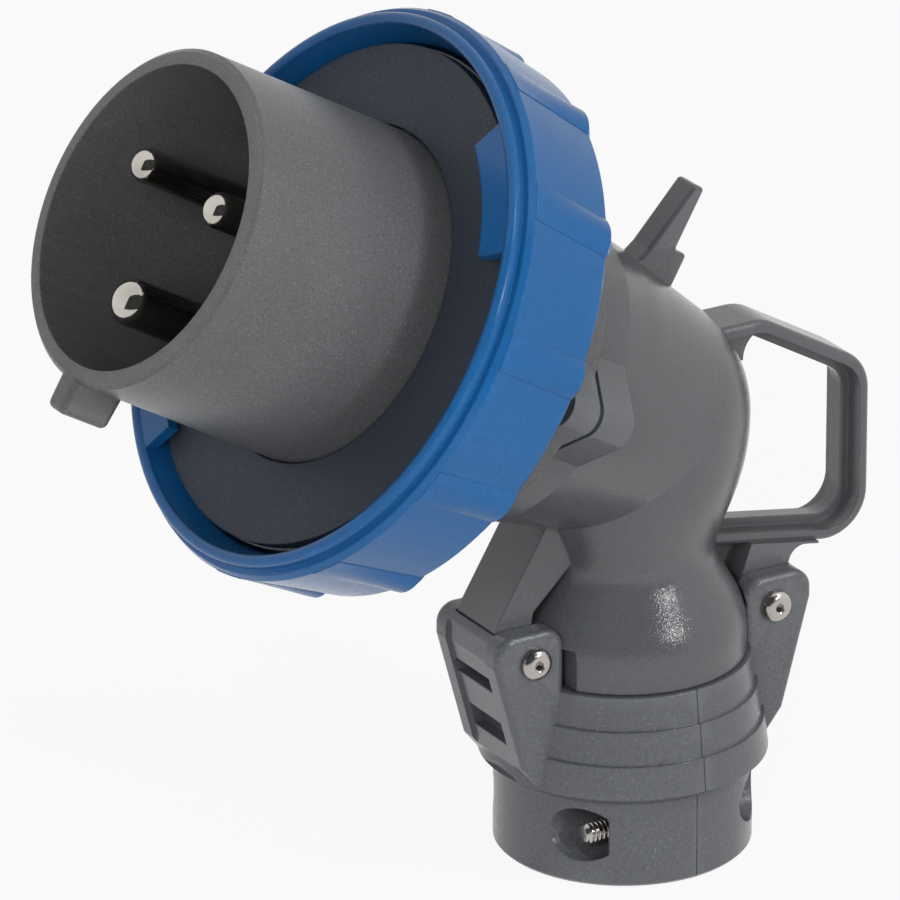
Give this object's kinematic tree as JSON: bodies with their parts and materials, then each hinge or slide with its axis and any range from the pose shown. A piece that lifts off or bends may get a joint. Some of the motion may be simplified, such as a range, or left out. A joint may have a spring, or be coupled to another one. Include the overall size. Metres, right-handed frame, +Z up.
{
  "type": "angled industrial plug",
  "caption": "Angled industrial plug: tubular shroud with round pins, turning bayonet ring, hollow elbow with carrying handle, and a split cable clamp.",
  "frame": {"origin": "on the cable axis at the mouth of the cable clamp", "axes": "+Z up along the cable axis, -Y towards the plug side, X across; the plug axis points to -Y and 30 degrees up"},
  "size_m": [0.0978, 0.1535, 0.1547],
  "materials": {
    "grey": "fine grain moulding",
    "clamp": "fine grain moulding",
    "blue": "satin",
    "gasket": "matt",
    "dark": "matt",
    "nickel": "nickel plated",
    "steel": "bright",
    "brass": "turned"
  },
  "bodies": {
    "plug_body": {"plug_shroud": "grey", "face_gasket": "gasket", "flange_gasket": "gasket", "contact_carrier": "dark", "elbow_housing": "grey", "cable_grommet": "gasket", "line_pin": "nickel", "neutral_pin": "nickel", "earth_pin": "nickel", "line_terminal_screw": "steel", "neutral_terminal_screw": "steel", "earth_terminal_screw": "steel", "front_clamp_jaw": "clamp", "rear_clamp_jaw": "clamp", "front_pivot_screw": "steel", "rear_pivot_screw": "steel", "front_pivot_nut": "steel", "rear_pivot_nut": "steel", "right_clamp_screw": "steel", "left_clamp_screw": "steel", "right_clamp_insert": "brass", "left_clamp_insert": "brass", "right_flange_screw": "steel", "left_flange_screw": "steel"},
    "ring": {"locking_ring": "blue"}
  },
  "joints": [
    {"name": "ring_turn", "type": "hinge", "parent": "plug_body", "child": "ring", "pos_m": [0, 0, 0.0775], "axis": [0, -0.866, 0.5], "range_deg": [0, 40]}
  ]
}
